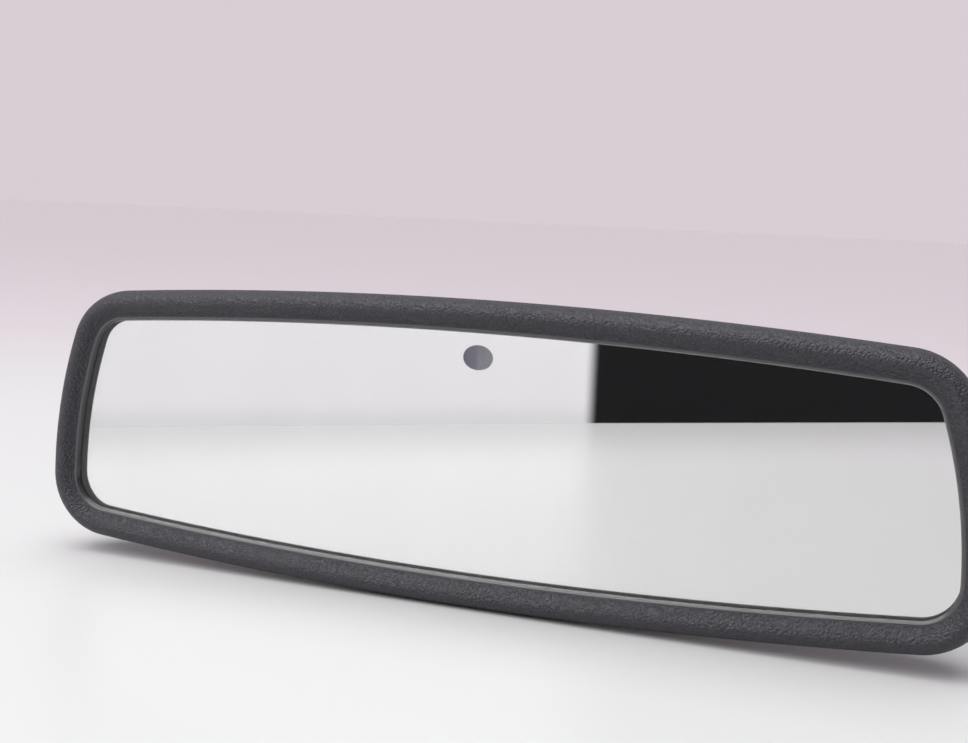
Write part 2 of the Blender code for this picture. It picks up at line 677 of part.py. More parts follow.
TEXTURED_PLASTIC = material("textured_plastic", (0.035, 0.035, 0.037), 0.55)
BLACK_PLASTIC = material("black_plastic", (0.02, 0.02, 0.021), 0.5)
GLASS = material("clear_glass", (0.86, 0.9, 0.9), 0.02)
MIRROR = material("mirror_coating", (0.9, 0.91, 0.92), 0.02, 1.0)
SEAL = material("seal_resin", (0.12, 0.12, 0.12), 0.6)
FOAM = material("foam_tape", (0.08, 0.08, 0.08), 0.9)
COPPER = material("spring_copper", (0.72, 0.43, 0.26), 0.3, 1.0)
BOARD = material("board_laminate", (0.03, 0.16, 0.06), 0.45)
CHIP = material("chip_resin", (0.03, 0.03, 0.035), 0.4)
ALUMINIUM = material("aluminium", (0.7, 0.7, 0.72), 0.35, 1.0)
BRASS = material("brass", (0.75, 0.6, 0.3), 0.3, 1.0)
LENS = material("tinted_lens", (0.13, 0.12, 0.17), 0.25)
NYLON = material("nylon", (0.78, 0.76, 0.7), 0.5)
SPRING_STEEL = material("spring_steel", (0.42, 0.42, 0.43), 0.35, 1.0)
POLISHED_STEEL = material("polished_steel", (0.62, 0.62, 0.63), 0.18, 1.0)
BARE_STEEL = material("bare_steel", (0.5, 0.5, 0.5), 0.45, 1.0)
DIE_CAST = material("die_cast_zinc", (0.45, 0.45, 0.46), 0.5, 1.0)
ZINC_PLATE = material("zinc_plate", (0.6, 0.6, 0.58), 0.3, 1.0)
SATIN_BLACK = material("satin_black_paint", (0.025, 0.025, 0.026), 0.42)

FOOT_BALL_AT = Vector((0, -math.sin(WINDSCREEN_SLOPE), -math.cos(WINDSCREEN_SLOPE))) * FOOT_BALL_DROP
FOOT = empty("foot_frame", (0, 0, 0), (-WINDSCREEN_SLOPE, 0, 0))
FOOT_BALL = empty("foot_ball_centre", FOOT_BALL_AT)
ARM = empty("arm_frame", FOOT_BALL_AT)
HEAD = empty("head_ball_centre", FOOT_BALL_AT + Vector((0, -ARM_LENGTH, 0)))

make_bezel()
BEHIND_GLASS = make_glass()
CARRIER_FRONT = BEHIND_GLASS + TAPE + AIR
make_carrier(BEHIND_GLASS, CARRIER_FRONT)
make_bus_clips(BEHIND_GLASS)
make_housing()
make_pivot_plate()
make_head_joint()
make_screws()
make_board()
make_sensors(BEHIND_GLASS, CARRIER_FRONT)
make_connector()
make_arm()
make_foot()
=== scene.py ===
"""Looks of an interior rearview mirror: fine surfaces, materials, studio and camera.

Everything is in metres, +Z up. The glass faces -Y and its long side runs along X.
Depths are measured from the front of the glass, towards the windscreen.
"""

import json
import math

import bmesh
import bpy
import numpy as np
from mathutils import Matrix, Vector


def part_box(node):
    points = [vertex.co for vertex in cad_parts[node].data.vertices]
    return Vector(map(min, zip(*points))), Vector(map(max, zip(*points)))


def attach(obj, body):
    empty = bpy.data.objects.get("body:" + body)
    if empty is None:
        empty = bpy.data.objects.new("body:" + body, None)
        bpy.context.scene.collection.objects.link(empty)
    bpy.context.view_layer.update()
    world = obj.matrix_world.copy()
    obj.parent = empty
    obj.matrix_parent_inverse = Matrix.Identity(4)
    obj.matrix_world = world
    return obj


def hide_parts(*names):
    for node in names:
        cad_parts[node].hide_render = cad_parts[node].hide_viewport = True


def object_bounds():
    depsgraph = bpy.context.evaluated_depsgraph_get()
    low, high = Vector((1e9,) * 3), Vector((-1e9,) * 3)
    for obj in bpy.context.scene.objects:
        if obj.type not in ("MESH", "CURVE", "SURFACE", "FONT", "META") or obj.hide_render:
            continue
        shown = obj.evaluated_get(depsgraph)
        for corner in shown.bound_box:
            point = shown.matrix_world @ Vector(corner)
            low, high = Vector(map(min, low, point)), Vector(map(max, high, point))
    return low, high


MM = 0.001
TURN = 2 * math.pi

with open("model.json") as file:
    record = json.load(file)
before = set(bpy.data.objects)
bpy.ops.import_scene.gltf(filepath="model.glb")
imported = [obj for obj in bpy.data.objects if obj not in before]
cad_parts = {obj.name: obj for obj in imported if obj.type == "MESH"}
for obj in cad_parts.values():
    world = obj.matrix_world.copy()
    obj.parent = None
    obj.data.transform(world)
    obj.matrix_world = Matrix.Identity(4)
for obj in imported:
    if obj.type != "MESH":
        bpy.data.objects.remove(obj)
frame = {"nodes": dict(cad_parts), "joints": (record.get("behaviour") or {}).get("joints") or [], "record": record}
CAD_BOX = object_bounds()
JOINT_AT = {joint["name"]: Vector(joint["pos_m"]) for joint in frame["joints"]}
HEAD = JOINT_AT["head_pitch"]
FOOT_BALL = JOINT_AT["foot_pitch"]
GLASS_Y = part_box("front_glass")[0].y
FLOOR_Z = CAD_BOX[0].z

# The edge of the visible glass, measured from the head's ball.
TOP_HALF = 105.5 * MM
BOTTOM_HALF = 111.6 * MM
CORE_HALF_HEIGHT = 17.7 * MM
TOP_RISE = 4.1 * MM
BOTTOM_RISE = 4.7 * MM
SIDE_RISE = 1.4 * MM
CORNER_RADIUS = 9.4 * MM
LONG_STEPS, SHORT_STEPS, CORNER_STEPS = 96, 32, 24

# The dimming cell.
GLASS_OVERLAP = 3.0 * MM
CELL_THICKNESS = 2.3 * MM
FILM_INSET, FILM_GAP, FILM_THICKNESS = 0.3 * MM, 0.03 * MM, 0.06 * MM
FILTER_SPARE, FILTER_GAP, FILTER_THICKNESS = 1.5 * MM, 0.02 * MM, 0.1 * MM
WINDOW_HEIGHT = 24.8 * MM
WINDOW_HALF_WIDTH, WINDOW_HALF_HEIGHT = 4.1 * MM, 3.2 * MM
WINDOW_SHIFT = 0.4 * MM

# The housing's dome.
RIM_OFFSET = 6.6 * MM
RIM_LENGTH = 1.5 * MM
RIM_EDGE = 0.3 * MM
DOME_EXPONENT = 2.2
DOME_CROWN = 0.06 * MM
WALL = 2.2 * MM
STEM_HOLE = 11.5 * MM
STEM_HOLE_LIP = 1.2 * MM
LIP_STEPS = 6
BLEND_LEVEL = 0.42
REAR_LENS_HOLE = 3.6 * MM

# Ball joints and arm.
BALL = 7.5 * MM
LINER_INNER, LINER_OUTER = 7.9 * MM, 9.2 * MM
SOCKET_INNER = 9.7 * MM
LINER_OPENING, SOCKET_OPENING = math.radians(54), math.radians(52)
CUP_RADIUS = 13.0 * MM
SOCKET_FLOOR = 11.6 * MM
SOCKET_OUTER = 12.5 * MM
FLANGE_FRONT, FLANGE_BACK = -3.0 * MM, -0.5 * MM
NECK, BARREL, SPIGOT = 3.5 * MM, 6.5 * MM, 2.6 * MM
SPIGOT_START, SPIGOT_END = -7.2 * MM, 4.1 * MM
SPIGOT_BORE, SPIGOT_BORE_END = 3.0 * MM, -4.5 * MM
SEAM_HEIGHT, SEAM_WIDTH, SEAM_CLEAR = 0.12 * MM, 0.5 * MM, 9 * MM

# The windscreen foot, in its own frame: Z is the windscreen's normal, Y runs down the windscreen.
BUTTON_LENGTH, BUTTON_THICKNESS = 28.0 * MM, 3.2 * MM
BUTTON_FACE, BUTTON_BACK, BUTTON_TAPER = 20.0 * MM, 23.0 * MM, 1.6 * MM
CHANNEL_PLAY = 0.35 * MM
BASE_LOW, BASE_HIGH = (-17 * MM, -18 * MM, -9 * MM), (17 * MM, 25 * MM, -0.6 * MM)
WEB_LOW, WEB_HIGH = (-8 * MM, 0, -20 * MM), (8 * MM, 19 * MM, -6 * MM)
CUP_FRONT, CUP_FLOOR = -0.3 * MM, 3.4 * MM
SET_SCREW_HOLE, SET_SCREW_PLACE, SET_SCREW_END = 2.35 * MM, -11 * MM, -14 * MM
NOTCH_HALF, NOTCH_INSET = 1.6 * MM, 0.6 * MM

# The plug's socket.
PLUG_WALL = 1.2 * MM
PLUG_FLOOR = 2.5 * MM
PLUG_PLAY = 0.5 * MM

# The studio: where the white board meets the black one, the boards' other ends, and the way to them.
BOARD_EDGE = (-0.069, -0.414, 0)
WHITE_END = (-0.42, -0.128, 0)
BLACK_END = (0.55, -0.884, 0)
SIDE_END = (0.8, 0.15, 0)
TOWARDS_BOARDS = (-0.632, -0.775, 0)
FLOOR_REACH = 6.0

# How a turned piece is laid: its own Z points at the driver or at the windscreen.
TO_DRIVER = Matrix.Rotation(math.pi / 2, 4, "X")
TO_WINDSCREEN = Matrix.Rotation(-math.pi / 2, 4, "X")


# ---------------------------------------------------------------- materials


class Look:
    """A Principled material with noise-driven colour, roughness and bump."""

    def __init__(self, name, colour, roughness, metallic=0.0, **sockets):
        self.material = bpy.data.materials.new(name)
        self.material.use_nodes = True
        self.tree = self.material.node_tree
        self.shader = self.tree.nodes["Principled BSDF"]
        self.colour, self.roughness = colour, roughness
        self.shader.inputs["Base Color"].default_value = (*colour, 1)
        self.shader.inputs["Roughness"].default_value = roughness
        self.shader.inputs["Metallic"].default_value = metallic
        for socket, value in sockets.items():
            self.shader.inputs[socket.replace("_", " ")].default_value = value
        self.place = self.node("ShaderNodeTexCoord").outputs["Object"]

    def node(self, kind, links=None, **settings):
        made = self.tree.nodes.new(kind)
        for key, value in settings.items():
            setattr(made, key, value)
        for socket, value in (links or {}).items():
            if isinstance(value, bpy.types.NodeSocket):
                self.tree.links.new(value, made.inputs[socket])
            else:
                made.inputs[socket].default_value = value
        return made

    def noise(self, size, detail=3.0, stretch=(1, 1, 1)):
        """Noise with features of about size metres, longer along an axis with a small stretch."""
        place = self.node("ShaderNodeMapping", {"Vector": self.place, "Scale": stretch})
        links = {"Vector": place.outputs["Vector"], "Scale": 1 / size}
        links.update({"Detail": detail, "Roughness": 0.55})
        return self.node("ShaderNodeTexNoise", links).outputs["Fac"]

    def spread(self, source, low, high):
        """The source's middle range stretched from low to high."""
        links = {"Value": source, "From Min": 0.3, "From Max": 0.7, "To Min": low, "To Max": high}
        return self.node("ShaderNodeMapRange", links).outputs["Result"]

    def vary_colour(self, source, amount):
        dark = [channel * (1 - amount) for channel in self.colour]
        light = [min(1, channel * (1 + amount)) for channel in self.colour]
        mix = self.node("ShaderNodeMix", data_type="RGBA")
        mix.inputs[6].default_value = (*dark, 1)
        mix.inputs[7].default_value = (*light, 1)
        self.tree.links.new(self.spread(source, 0, 1), mix.inputs[0])
        self.tree.links.new(mix.outputs[2], self.shader.inputs["Base Color"])
        return self

    def vary_roughness(self, source, amount):
        spread = self.spread(source, self.roughness - amount, self.roughness + amount)
        self.tree.links.new(spread, self.shader.inputs["Roughness"])
        return self

    def bump(self, source, height, strength=1.0):
        """Adds relief. A second call lies on top of the first."""
        links = {"Height": source, "Distance": height, "Strength": strength}
        before = self.shader.inputs["Normal"].links
        if before:
            links["Normal"] = before[0].from_socket
        made = self.node("ShaderNodeBump", links)
        self.tree.links.new(made.outputs["Normal"], self.shader.inputs["Normal"])
        return self


def grained_plastic():
    """Moulded charcoal plastic with a fine leather grain: rounded pebbles with creases between them."""
    look = Look("grained_plastic", (0.033, 0.032, 0.038), 0.45, Specular_Tint=(0.97, 0.95, 1.0, 1))
    pebble, warp = 0.6 * MM, 0.5 * MM
    links = {0: look.noise(1.3 * MM, 2), 1: (warp, warp, warp), 2: look.place}
    shift = look.node("ShaderNodeVectorMath", links, operation="MULTIPLY_ADD")
    links = {"Vector": shift.outputs[0], "Scale": 1 / pebble, "Smoothness": 0.3}
    pebbles = look.node("ShaderNodeTexVoronoi", links, feature="SMOOTH_F1").outputs["Distance"]
    look.bump(look.noise(1.8 * MM, 3), 0.035 * MM)
    look.bump(pebbles, -0.32 * MM)
    look.bump(look.noise(0.3 * MM, 2), 0.02 * MM)
    look.vary_colour(look.noise(0.6 * MM, 2), 0.3)
    return look.vary_roughness(look.noise(2 * MM), 0.06).material


def smooth_plastic(name, shade, roughness, relief=0.006 * MM, variation=0.08):
    look = Look(name, (shade, shade, shade * 1.05), roughness)
    look.bump(look.noise(0.4 * MM), relief)
    look.vary_colour(look.noise(3 * MM), variation)
    return look.vary_roughness(look.noise(2 * MM), variation * roughness).material


def polished_lip():
    """The bezel's inner bead: the same plastic, polished by the tool and by wiping."""
    look = Look("lip_plastic", (0.036, 0.035, 0.038), 0.3, Specular_IOR_Level=1.0)
    look.bump(look.noise(0.4 * MM), 0.0004 * MM)
    return look.vary_colour(look.noise(3 * MM), 0.03).material


def clear_glass():
    look = Look("clear_glass", (1.0, 1.0, 1.0), 0.0, IOR=1.5, Transmission_Weight=1.0)
    look.bump(look.noise(40 * MM, 1), 0.004 * MM, 0.3)
    return look.material


def mirror_film():
    look = Look("mirror_film", (0.82, 0.817, 0.82), 0.01, 1.0)
    look.vary_colour(look.noise(30 * MM, 2), 0.01)
    return look.material


def tinted_lens():
    look = Look("tinted_lens", (0.24, 0.23, 0.29), 0.3, Coat_Weight=0.4)
    look.bump(look.noise(0.35 * MM), 0.01 * MM)
    return look.vary_colour(look.noise(1.5 * MM), 0.08).material


def window_filter_painted_shade():
    """The grey-violet filter over the glare sensor, with painted shade that darkens it towards the driver's left,
    where the window's edge shades the lens behind it.
    """
    look = Look("window_filter_painted_shade", (0.3, 0.29, 0.35), 0.25)
    across = look.node("ShaderNodeSeparateXYZ", {"Vector": look.place}).outputs["X"]
    links = {"Value": across, "From Min": -WINDOW_HALF_WIDTH, "From Max": WINDOW_HALF_WIDTH}
    across = look.node("ShaderNodeMapRange", links).outputs["Result"]
    ramp = look.node("ShaderNodeValToRGB", {"Fac": across})
    # Painted shade: the stops run from dark violet on the driver's left to a lighter grey-violet on the right.
    painted_shades = [
        (0, (0.1, 0.085, 0.17)),
        (0.46, (0.19, 0.175, 0.26)),
        (0.54, (0.27, 0.26, 0.32)),
        (1, (0.33, 0.32, 0.37)),
    ]
    while len(ramp.color_ramp.elements) < len(painted_shades):
        ramp.color_ramp.elements.new(0.5)
    for element, (place, shade) in zip(ramp.color_ramp.elements, painted_shades):
        element.position = place
        element.color = (*shade, 1)
    look.tree.links.new(ramp.outputs["Color"], look.shader.inputs["Base Color"])
    look.bump(look.noise(0.8 * MM), 0.01 * MM)
    return look.vary_roughness(look.noise(1.0 * MM), 0.05).material


def metal(name, colour, roughness, grain=0.5 * MM, relief=0.004 * MM, stretch=(1, 1, 1)):
    look = Look(name, colour, roughness, 1.0)
    look.bump(look.noise(grain, 4, stretch), relief)
    look.vary_colour(look.noise(4 * MM), 0.08)
    return look.vary_roughness(look.noise(1.5 * MM, 3, stretch), 0.06).material


def satin_paint():
    """Black powder paint on a casting: fine orange peel over a slightly uneven surface."""
    look = Look("satin_paint", (0.02, 0.02, 0.021), 0.38, Coat_Weight=0.15, Coat_Roughness=0.3)
    look.bump(look.noise(2.5 * MM, 2), 0.02 * MM, 0.6)
    look.bump(look.noise(0.5 * MM, 2), 0.012 * MM, 0.8)
    look.vary_colour(look.noise(4 * MM), 0.15)
    return look.vary_roughness(look.noise(1.2 * MM), 0.07).material


def plain(name, colour, roughness, grain=0.4 * MM, relief=0.01 * MM, variation=0.1):
    look = Look(name, colour, roughness)
    look.bump(look.noise(grain), relief)
    look.vary_colour(look.noise(2 * MM), variation)
    return look.vary_roughness(look.noise(1 * MM), 0.06).material


LOOKS = {
    "textured_plastic": grained_plastic(),
    "black_plastic": smooth_plastic("black_plastic", 0.025, 0.4),
    "lip_plastic": polished_lip(),
    # Painted light: the lip's underside is painted light grey, far lighter than the bezel's plastic, so that its
    # reflection in the glass shows as a lighter strip.
    "lip_underside_painted_light": plain("lip_underside_painted_light", (0.34, 0.34, 0.35), 0.6, 0.5 * MM, 0.002 * MM),
    "clear_glass": clear_glass(),
    "mirror_coating": mirror_film(),
    "tinted_lens": tinted_lens(),
    "window_filter_painted_shade": window_filter_painted_shade(),
    "seal_resin": plain("seal_resin", (0.12, 0.12, 0.12), 0.6),
    "foam_tape": plain("foam_tape", (0.06, 0.06, 0.062), 0.9, 0.3 * MM, 0.06 * MM),
    "nylon": plain("nylon", (0.76, 0.74, 0.68), 0.45, 0.6 * MM, 0.006 * MM, 0.04),
    "board_laminate": plain("board_laminate", (0.03, 0.15, 0.06), 0.35, 0.8 * MM, 0.01 * MM, 0.2),
    "chip_resin": plain("chip_resin", (0.03, 0.03, 0.033), 0.5),
    "spring_copper": metal("spring_copper", (0.75, 0.45, 0.28), 0.3),
    "aluminium": metal("aluminium", (0.72, 0.72, 0.74), 0.32),
    "brass": metal("brass", (0.78, 0.62, 0.32), 0.24),
    "spring_steel": metal("spring_steel", (0.42, 0.42, 0.43), 0.34),
    "polished_steel": metal("polished_steel", (0.66, 0.66, 0.67), 0.16),
    "bare_steel": metal("bare_steel", (0.4, 0.39, 0.38), 0.48, 0.25 * MM, 0.02 * MM),
    "die_cast_zinc": metal("die_cast_zinc", (0.46, 0.46, 0.47), 0.5, 0.8 * MM, 0.02 * MM),
    "zinc_plate": metal("zinc_plate", (0.62, 0.62, 0.6), 0.28),
    "satin_black_paint": satin_paint(),
}
LOOKS["gel"] = LOOKS["clear_glass"]


# ---------------------------------------------------------------- mesh helpers


def skin(name, rings, joined=False, caps=()):
    """A mesh through rings of equal length. Joined links the last to the first; caps closes rings."""
    rings = np.asarray(rings, float)
    count, size = rings.shape[:2]
    faces = []
    for i in range(count if joined else count - 1):
        one, other = i * size, (i + 1) % count * size
        for j in range(size):
            k = (j + 1) % size
            faces.append((one + j, one + k, other + k, other + j))
    faces += [[cap % count * size + j for j in range(size)] for cap in caps]
    data = bpy.data.meshes.new(name)
    data.from_pydata(rings.reshape(-1, 3).tolist(), [], faces)
    return tidied(data)


def tidied(data, angle=35):
    mesh = bmesh.new()
    mesh.from_mesh(data)
    bmesh.ops.remove_doubles(mesh, verts=mesh.verts, dist=1e-7)
    bmesh.ops.recalc_face_normals(mesh, faces=mesh.faces)
    mesh.to_mesh(data)
    mesh.free()
    data.shade_smooth()
    data.set_sharp_from_angle(angle=math.radians(angle))
    return data


def smooth(points, steps):
    """A smooth curve through 2-D points (Catmull-Rom), with steps samples for each stretch."""
    points = np.asarray(points, float)
    padded = np.vstack([2 * points[0] - points[1], points, 2 * points[-1] - points[-2]])
    t = np.linspace(0, 1, steps, endpoint=False)[:, None]
    samples = []
    for a, b, c, d in zip(padded, padded[1:], padded[2:], padded[3:]):
        bend = 2 * a - 5 * b + 4 * c - d + t * (3 * (b - c) + d - a)
        samples.append(b + t / 2 * (c - a + t * bend))
    return np.vstack([*samples, points[-1:]])


def lathe(name, profile, steps=96, closed=False):
    """A turned mesh about Z from (radius, height) points, closed or ending on the axis."""
    angles = np.arange(steps) * TURN / steps
    rings = [
        np.column_stack([radius * np.cos(angles), radius * np.sin(angles), np.full(steps, height)])
        for radius, height in profile
    ]
    return skin(name, rings, joined=closed)


def arc(radius, start, end, steps, centre=(0, 0)):
    """(radius, height) points on a circle, by the angle from straight up."""
    angles = np.linspace(start, end, steps)
    return np.column_stack([centre[0] + radius * np.sin(angles), centre[1] + radius * np.cos(angles)])


def rounded_profile(corners, radius, steps=5):
    """(radius, height) corners with each inner one rounded. Points on the axis stay sharp."""
    corners = [Vector(corner) for corner in corners]
    points = [corners[0]]
    for before, corner, after in zip(corners, corners[1:], corners[2:]):
        to_before, to_after = before - corner, after - corner
        cut = min(radius, to_before.length * 0.45, to_after.length * 0.45)
        start, end = corner + to_before.normalized() * cut, corner + to_after.normalized() * cut
        for i in range(steps + 1):
            t = i / steps
            points.append(start.lerp(corner, t).lerp(corner.lerp(end, t), t))
    points.append(corners[-1])
    return [tuple(point) for point in points]


def rounded_rectangle(half_width, half_height, radius, steps=8):
    """(x, z) points of a rectangle with round corners, about its middle."""
    points = []
    for quarter, (sx, sz) in enumerate(((1, 1), (-1, 1), (-1, -1), (1, -1))):
        for i in range(steps + 1):
            angle = (quarter + i / steps) * math.pi / 2
            x = sx * (half_width - radius) + radius * math.cos(angle)
            points.append((x, sz * (half_height - radius) + radius * math.sin(angle)))
    return np.array(points)


def rounded_box(low, high, bevel, segments=4):
    low, high = Vector(low), Vector(high)
    mesh = bmesh.new()
    bmesh.ops.create_cube(mesh, size=1)
    for vert in mesh.verts:
        vert.co = Vector(a + (c + 0.5) * (b - a) for a, c, b in zip(low, vert.co, high))
    return bevelled(mesh, bevel, segments)


def bevelled(mesh, bevel, segments):
    """The mesh with all its edges rounded by bevel, or left sharp at 0."""
    if bevel:
        edges = mesh.edges[:]
        bmesh.ops.bevel(mesh, geom=edges, offset=bevel, segments=segments, profile=0.5, affect="EDGES")
    data = bpy.data.meshes.new("block")
    mesh.to_mesh(data)
    mesh.free()
    return tidied(data)


def flat_mesh(name, outlines, front, thickness):
    """A sheet of the head from (x, z) outlines, with its front at a depth. Later outlines are holes."""
    curve = bpy.data.curves.new(name, "CURVE")
    curve.dimensions = "2D"
    curve.fill_mode = "BOTH"
    curve.extrude = thickness / 2
    for points in outlines:
        spline = curve.splines.new("POLY")
        spline.points.add(len(points) - 1)
        spline.use_cyclic_u = True
        for point, (x, z) in zip(spline.points, points):
            point.co = (x, z, 0, 1)
    holder = bpy.data.objects.new(name, curve)
    bpy.context.scene.collection.objects.link(holder)
    bpy.context.view_layer.update()
    data = bpy.data.meshes.new_from_object(holder.evaluated_get(bpy.context.evaluated_depsgraph_get()))
    bpy.data.objects.remove(holder)
    data.transform(Matrix.Translation((HEAD.x, GLASS_Y + front + thickness / 2, HEAD.z)) @ TO_DRIVER)
    return tidied(data)


def boolean(target, tool, operation="DIFFERENCE"):
    """Cuts or joins one mesh with another, and returns the result."""
    holders = [bpy.data.objects.new("holder", data) for data in (target, tool)]
    for holder in holders:
        bpy.context.scene.collection.objects.link(holder)
    modifier = holders[0].modifiers.new("cut", "BOOLEAN")
    modifier.object = holders[1]
    modifier.operation = operation
    modifier.solver = "EXACT"
    bpy.context.view_layer.update()
    evaluated = holders[0].evaluated_get(bpy.context.evaluated_depsgraph_get())
    data = bpy.data.meshes.new_from_object(evaluated)
    for holder in holders:
        bpy.data.objects.remove(holder)
    return tidied(data, 30)


def soften(data, width, segments=3, angle=40):
    """Rounds a mesh's sharp edges."""
    holder = bpy.data.objects.new("holder", data)
    bpy.context.scene.collection.objects.link(holder)
    bevel = holder.modifiers.new("bevel", "BEVEL")
    bevel.width = width
    bevel.segments = segments
    bevel.limit_method = "ANGLE"
    bevel.angle_limit = math.radians(angle)
    bevel.harden_normals = False
    bpy.context.view_layer.update()
    evaluated = holder.evaluated_get(bpy.context.evaluated_depsgraph_get())
    made = bpy.data.meshes.new_from_object(evaluated)
    bpy.data.objects.remove(holder)
    return tidied(made, angle)


def moved(data, matrix):
    data.transform(matrix)
    return data


def show(name, data, body, slot, nodes, looks=None):
    """A finished piece: it rides on a body and stands for CAD nodes."""
    made = bpy.data.objects.new(name, data)
    bpy.context.scene.collection.objects.link(made)
    data.materials.clear()
    for look in looks or [slot]:
        data.materials.append(LOOKS[look])
    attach(made, body)
    if nodes:
        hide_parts(*nodes)
    return made


# ---------------------------------------------------------------- outlines


def bulged_side(start, end, rise, steps):
    """Points and outward normals along an arc from start to end that bulges by rise."""
    start, end = np.array(start), np.array(end)
    chord = np.linalg.norm(end - start)
    along = (end - start) / chord
    outward = np.array([-along[1], along[0]])
    radius = (chord**2 / 4 + rise**2) / (2 * rise)
    half = math.asin(chord / (2 * radius))
    angles = np.linspace(-half, half, steps)[:, None]
    normals = outward * np.cos(angles) + along * np.sin(angles)
    return (start + end) / 2 + outward * (rise - radius) + normals * radius, normals


def make_sides():
    """The four sides of the glass's core and the corners between them, as points with normals."""
    corners = [
        (-TOP_HALF, CORE_HALF_HEIGHT),
        (TOP_HALF, CORE_HALF_HEIGHT),
        (BOTTOM_HALF, -CORE_HALF_HEIGHT),
        (-BOTTOM_HALF, -CORE_HALF_HEIGHT),
    ]
    rises = [TOP_RISE, SIDE_RISE, BOTTOM_RISE, SIDE_RISE]
    steps = [LONG_STEPS, SHORT_STEPS, LONG_STEPS, SHORT_STEPS]
    sides = [bulged_side(corners[i], corners[(i + 1) % 4], rises[i], steps[i]) for i in range(4)]
    points, normals = [], []
    for (at, facing), (_, facing_next) in zip(sides, sides[1:] + sides[:1]):
        first, last = (math.atan2(n[1], n[0]) for n in (facing[-1], facing_next[0]))
        angles = np.linspace(first, first - (first - last) % TURN, CORNER_STEPS + 2)[1:-1]
        points += [at, np.tile(at[-1], (CORNER_STEPS, 1))]
        normals += [facing, np.column_stack([np.cos(angles), np.sin(angles)])]
    return np.vstack(points), np.vstack(normals)


CORE_POINTS, CORE_NORMALS = make_sides()


def outline(offset):
    """The visible glass edge moved outwards by offset, as (x, z) points about the head's ball."""
    return CORE_POINTS + CORE_NORMALS * (CORNER_RADIUS + offset)


def ring_at(points, depth):
    """(x, z) points as a ring in space. Depth is one number, or one for each point."""
    y = np.broadcast_to(GLASS_Y + depth, len(points))
    return np.column_stack([HEAD.x + points[:, 0], y, HEAD.z + points[:, 1]])


def oval(half_width, half_height, centre, steps=128):
    angles = np.arange(steps) * TURN / steps
    across, up = half_width * np.cos(angles), half_height * np.sin(angles)
    return np.column_stack([centre[0] + across, centre[1] + up])


# ---------------------------------------------------------------- bezel and glass


def make_bezel():
    """A thin smooth bead on the glass, the grained face up to its crest, a round shoulder and the side.

    Its section is in mm: the offset from the visible glass's edge, and the depth.
    """
    contact = 0.04
    bead = [(0.1, -contact), (0.0, -0.16), (0.1, -0.46), (0.36, -0.96), (0.6, -1.2), (0.86, -1.28)]
    valley = [(1.08, -1.26)]
    face = [(1.3, -1.34), (1.9, -1.76), (2.6, -2.4), (3.35, -3.0), (4.05, -3.4), (4.75, -3.57)]
    shoulder = [(5.5, -3.47), (6.3, -3.08), (7.05, -2.36), (7.7, -1.25), (8.15, 0.3)]
    side = [(8.35, 2.2), (8.25, 4.0), (7.75, 6.5), (7.0, 9.0)]
    steps = 7
    outer = smooth(bead + valley + face + shoulder + side, steps)
    inner = [(6.6, 9.45), (5.1, 9.45), (4.9, 9.2), (4.7, 0.3), (4.4, -contact), (0.5, -contact)]
    section = np.vstack([outer, inner]) * MM
    rings = [ring_at(outline(offset), depth) for offset, depth in section]
    data = skin("bezel", rings, joined=True)
    data.set_sharp_from_angle(angle=math.radians(70))
    # The faces under the lip take the painted-light grey; the bead and the face keep the plastic's own colours.
    looks = ["textured_plastic", "lip_plastic", "lip_underside_painted_light"]
    show("bezel_frame", data, "head", "textured_plastic", ["bezel"], looks)
    around = len(CORE_POINTS)
    for polygon in data.polygons:
        ring = min(polygon.vertices) // around
        under_the_lip = ring >= len(section) - 3 or (ring == 0 and max(polygon.vertices) >= 2 * around)
        polygon.material_index = 2 if under_the_lip else int(ring < len(bead) * steps)


def make_glass():
    """The clear front of the dimming cell, with a ground edge, and the mirror film close behind it."""
    chamfer = 0.35 * MM
    edge = [
        (GLASS_OVERLAP - chamfer, 0),
        (GLASS_OVERLAP, chamfer),
        (GLASS_OVERLAP, CELL_THICKNESS - chamfer),
        (GLASS_OVERLAP - chamfer, CELL_THICKNESS),
    ]
    rings = [ring_at(outline(offset), depth) for offset, depth in edge]
    data = skin("front_pane", rings, caps=(0, -1))
    show("front_pane", data, "head", "clear_glass", ["front_glass", "electrochromic_gel"])
    centre = (WINDOW_SHIFT, WINDOW_HEIGHT)
    film = [outline(GLASS_OVERLAP - FILM_INSET), oval(WINDOW_HALF_WIDTH, WINDOW_HALF_HEIGHT, centre)]
    film_depth = CELL_THICKNESS + FILM_GAP
    data = flat_mesh("mirror_film", film, film_depth, FILM_THICKNESS)
    show("mirror_film", data, "head", "mirror_coating", ["reflector_coating"])
    # A thin sheet over the window's hole that carries the filter's painted shade.
    patch = [oval(WINDOW_HALF_WIDTH + FILTER_SPARE, WINDOW_HALF_HEIGHT + FILTER_SPARE, centre)]
    depth = film_depth + FILM_THICKNESS + FILTER_GAP
    data = flat_mesh("window_filter_painted_shade", patch, depth, FILTER_THICKNESS)
    show("window_filter_painted_shade", data, "head", "tinted_lens", [], ["window_filter_painted_shade"])


def make_sensor_lens():
    """The diffuser behind the window: a shallow dome on a short barrel."""
    low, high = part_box("sensor_lens")
    radius, length = (high.x - low.x) / 2, (high.y - low.y) * 2.2
    curvature = 1.6
    dome = arc(radius * curvature, 0, math.asin(1 / curvature), 16)
    dome[:, 1] -= dome[0, 1]
    profile = [*dome, (radius, -length), (0, -length)]
    place = Matrix.Translation((HEAD.x, low.y, HEAD.z + WINDOW_HEIGHT))
    data = moved(lathe("diffuser", profile, 64), place @ TO_DRIVER)
    show("sensor_diffuser", data, "head", "tinted_lens", ["sensor_lens"])


# ---------------------------------------------------------------- housing


